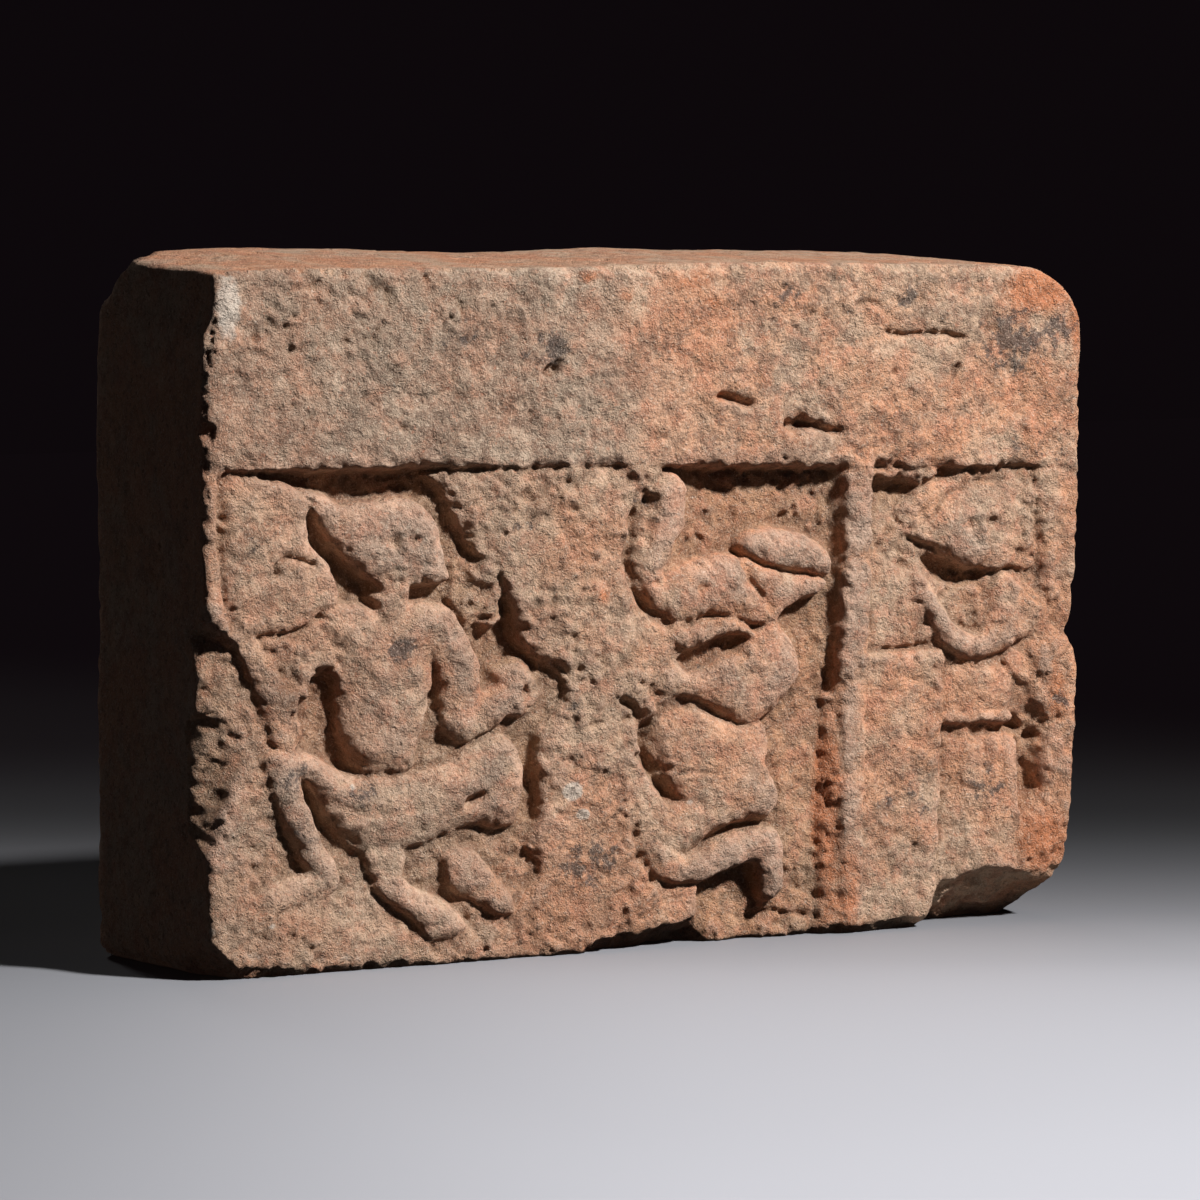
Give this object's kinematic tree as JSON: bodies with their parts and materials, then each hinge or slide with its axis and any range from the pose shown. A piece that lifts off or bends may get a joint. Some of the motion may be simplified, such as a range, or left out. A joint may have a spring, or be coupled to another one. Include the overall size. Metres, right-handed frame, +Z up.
{
  "type": "terracotta bas-relief",
  "caption": "Thick terracotta relief block with a plain upper band and a sunk panel of carved seated and kneeling figures and a post; it stands on its underside as an ornament.",
  "frame": {"origin": "middle of the block's box, on the plane of its underside", "axes": "+Z up, the carved face looks along -Y, +X runs to the right across the carved face"},
  "size_m": [0.421, 0.1, 0.2902],
  "materials": {
    "fired_clay": "matte"
  },
  "bodies": {
    "root": {"relief_block": "fired_clay"}
  },
  "joints": []
}
